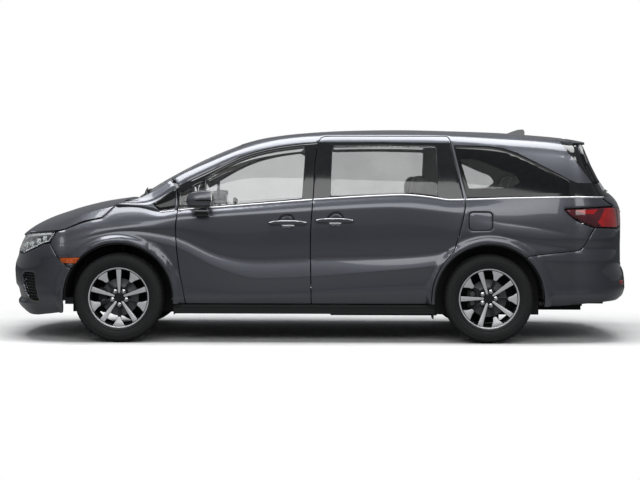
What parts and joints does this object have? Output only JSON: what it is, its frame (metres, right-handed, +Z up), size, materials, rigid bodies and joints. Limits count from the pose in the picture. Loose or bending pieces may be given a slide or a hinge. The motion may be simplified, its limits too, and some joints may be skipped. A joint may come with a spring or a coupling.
{
  "type": "minivan",
  "caption": "Seven-seat minivan with hinged front doors, hood, tailgate and fuel door, sliding side doors, alloy wheels and a hollow cabin.",
  "frame": {"origin": "on the ground below the middle of the van's length and width", "axes": "+X towards the rear, +Y towards the van's right side, +Z up"},
  "size_m": [5.213, 2.25, 1.772],
  "materials": {
    "body_paint": "metallic grey paint under clear coat",
    "cast_parts": "black-coated steel and iron",
    "exhaust_steel": "dull steel",
    "black_plastic": "grained black",
    "gloss_black": "polished black",
    "clear_glass": "lightly green tinted",
    "dark_glass": "privacy tint",
    "lamp_lens": "clear polycarbonate",
    "red_lens": "clear red and smoke",
    "seat_cloth": "woven cloth",
    "tyre": "moulded rubber",
    "alloy": "machined face with dark pockets"
  },
  "bodies": {
    "root": {"floor_pan": "cast_parts", "side_frames": "body_paint", "roof_panel": "body_paint", "front_fenders": "body_paint", "front_bumper": "body_paint", "front_grille": "black_plastic", "front_lamps": "lamp_lens", "windshield": "clear_glass", "cowl_panel": "black_plastic", "side_windows": "dark_glass", "sliding_doors": "body_paint", "tail_lamps": "red_lens", "rear_bumper": "body_paint", "dashboard": "black_plastic", "steering_wheel": "black_plastic", "front_seats": "seat_cloth", "rear_seats": "seat_cloth", "engine_block": "cast_parts", "wheel_liners": "black_plastic", "front_suspension": "cast_parts", "rear_suspension": "cast_parts", "exhaust": "exhaust_steel", "fuel_tank": "black_plastic"},
    "front_door_left": {"front_door_left": "body_paint", "front_window_left": "clear_glass", "mirror_left": "body_paint"},
    "front_door_right": {"front_door_right": "body_paint", "front_window_right": "clear_glass", "mirror_right": "body_paint"},
    "hood": {"hood": "body_paint"},
    "tailgate": {"tailgate": "body_paint", "tailgate_window": "dark_glass", "roof_spoiler": "gloss_black", "tailgate_lamps": "red_lens"},
    "fuel_door": {"fuel_door": "body_paint"},
    "knuckle_left": {"knuckle_left": "cast_parts"},
    "knuckle_right": {"knuckle_right": "cast_parts"},
    "front_wheel_left": {"tyre_front_left": "tyre", "wheel_front_left": "alloy"},
    "front_wheel_right": {"tyre_front_right": "tyre", "wheel_front_right": "alloy"},
    "rear_wheel_left": {"tyre_rear_left": "tyre", "wheel_rear_left": "alloy"},
    "rear_wheel_right": {"tyre_rear_right": "tyre", "wheel_rear_right": "alloy"}
  },
  "joints": [
    {"name": "front_door_left_hinge", "type": "hinge", "parent": "root", "child": "front_door_left", "pos_m": [-1.0195, -0.935, 0.65], "axis": [0, 0, -1], "range_deg": [0, 65]},
    {"name": "front_door_right_hinge", "type": "hinge", "parent": "root", "child": "front_door_right", "pos_m": [-1.0195, 0.935, 0.65], "axis": [0, 0, 1], "range_deg": [0, 65]},
    {"name": "hood_hinge", "type": "hinge", "parent": "root", "child": "hood", "pos_m": [-1.5395, 0, 1.122], "axis": [0, 1, 0], "range_deg": [0, 50]},
    {"name": "tailgate_hinge", "type": "hinge", "parent": "root", "child": "tailgate", "pos_m": [2.0905, 0, 1.672], "axis": [0, -1, 0], "range_deg": [0, 85]},
    {"name": "fuel_door_hinge", "type": "hinge", "parent": "root", "child": "fuel_door", "pos_m": [1.2135, -0.969, 0.99], "axis": [0, 0, -1], "range_deg": [0, 100]},
    {"name": "steer_left", "type": "hinge", "parent": "root", "child": "knuckle_left", "pos_m": [-1.6195, -0.77, 0.362], "axis": [0, 0, 1], "range_deg": [-36, 36]},
    {"name": "steer_right", "type": "hinge", "parent": "root", "child": "knuckle_right", "pos_m": [-1.6195, 0.77, 0.362], "axis": [0, 0, 1], "range_deg": [-36, 36]},
    {"name": "front_wheel_left_spin", "type": "hinge", "parent": "knuckle_left", "child": "front_wheel_left", "pos_m": [-1.6195, -0.855, 0.362], "axis": [0, 1, 0], "continuous": true},
    {"name": "front_wheel_right_spin", "type": "hinge", "parent": "knuckle_right", "child": "front_wheel_right", "pos_m": [-1.6195, 0.855, 0.362], "axis": [0, 1, 0], "continuous": true},
    {"name": "rear_wheel_left_spin", "type": "hinge", "parent": "root", "child": "rear_wheel_left", "pos_m": [1.3805, -0.855, 0.362], "axis": [0, 1, 0], "continuous": true},
    {"name": "rear_wheel_right_spin", "type": "hinge", "parent": "root", "child": "rear_wheel_right", "pos_m": [1.3805, 0.855, 0.362], "axis": [0, 1, 0], "continuous": true}
  ],
  "couplings": [
    {"joint": "steer_right", "follows": "steer_left", "ratio": 1}
  ]
}
